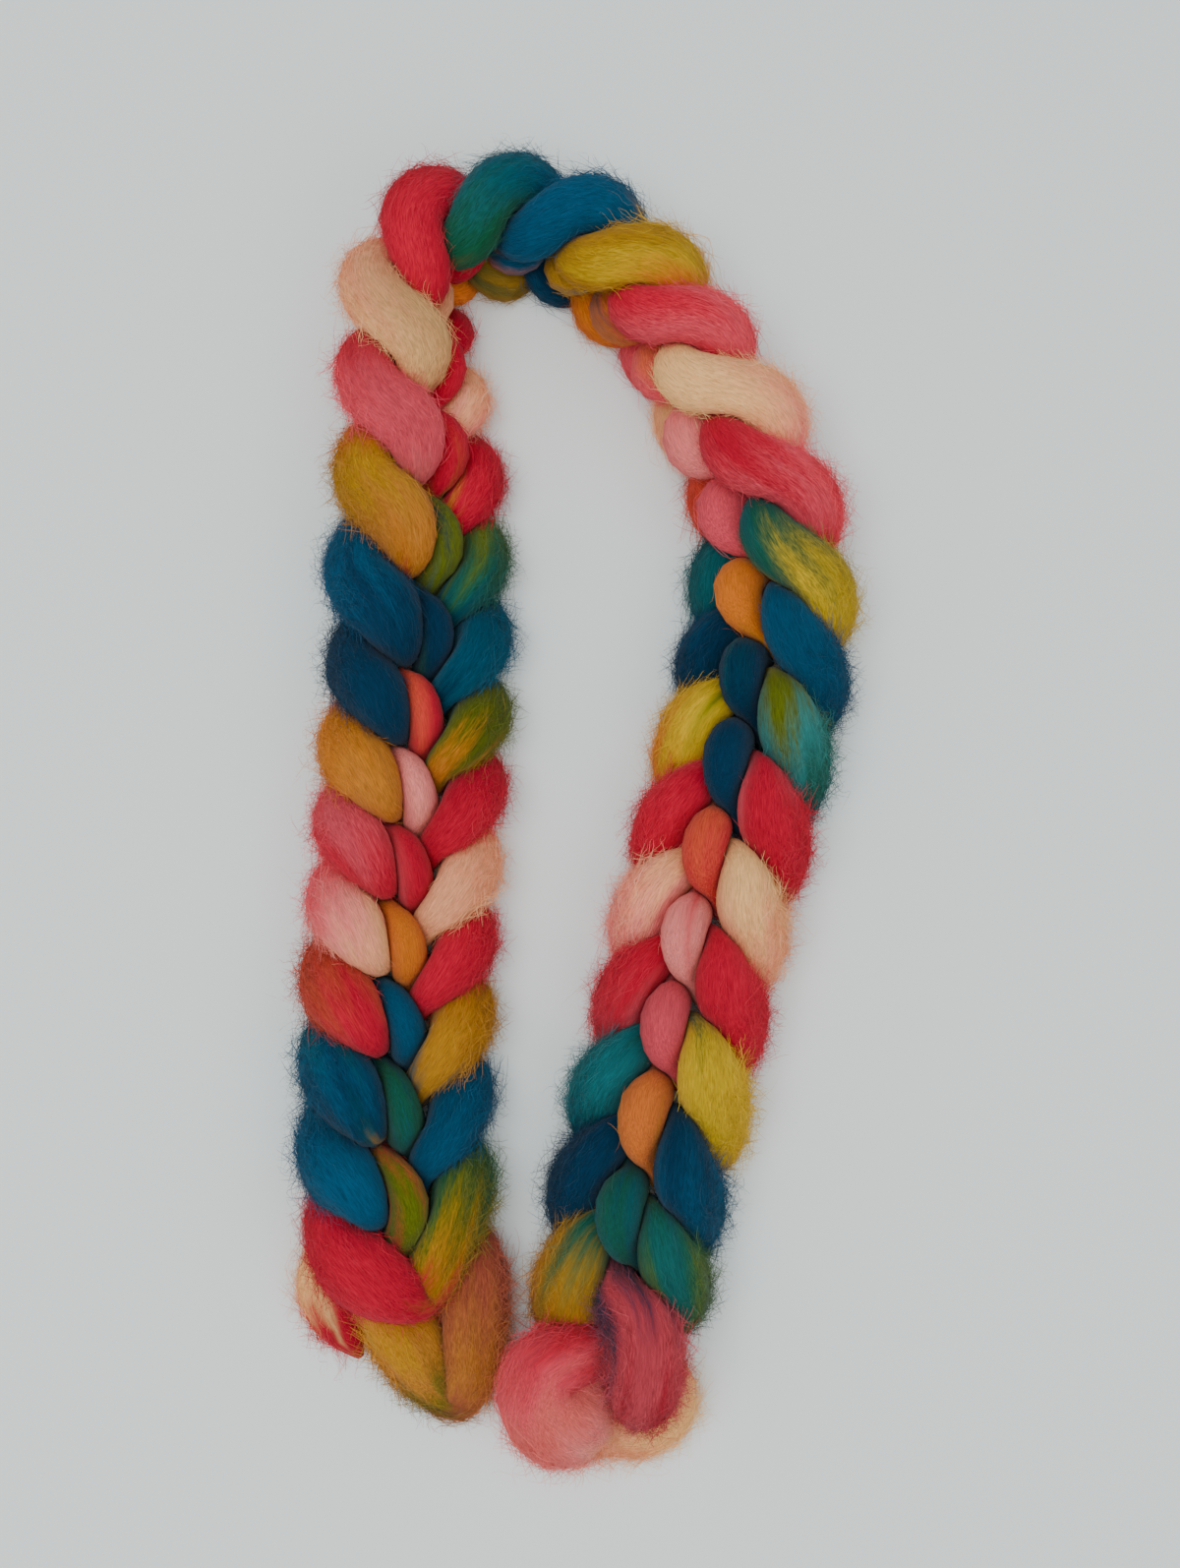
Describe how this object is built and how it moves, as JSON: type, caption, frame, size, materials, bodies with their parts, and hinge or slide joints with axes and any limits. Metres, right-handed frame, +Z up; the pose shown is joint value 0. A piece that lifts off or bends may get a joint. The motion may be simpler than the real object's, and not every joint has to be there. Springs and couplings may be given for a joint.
{
  "type": "braid of wool roving",
  "caption": "Soft chain-looped braid of hand-dyed wool roving laid in an arch, a spinner's fibre supply and textile prop.",
  "frame": {"origin": "middle of the underside of the bounding box, on the table", "axes": "+Y from the two ends towards the bend of the arch, +Z up from the table"},
  "size_m": [0.1838, 0.4332, 0.0474],
  "materials": {
    "dyed_wool": "matte, soft combed fibre, hand-dyed in crimson, pink, peach, yellow, green and blue"
  },
  "bodies": {
    "root": {"roving_braid": "dyed_wool"}
  },
  "joints": []
}
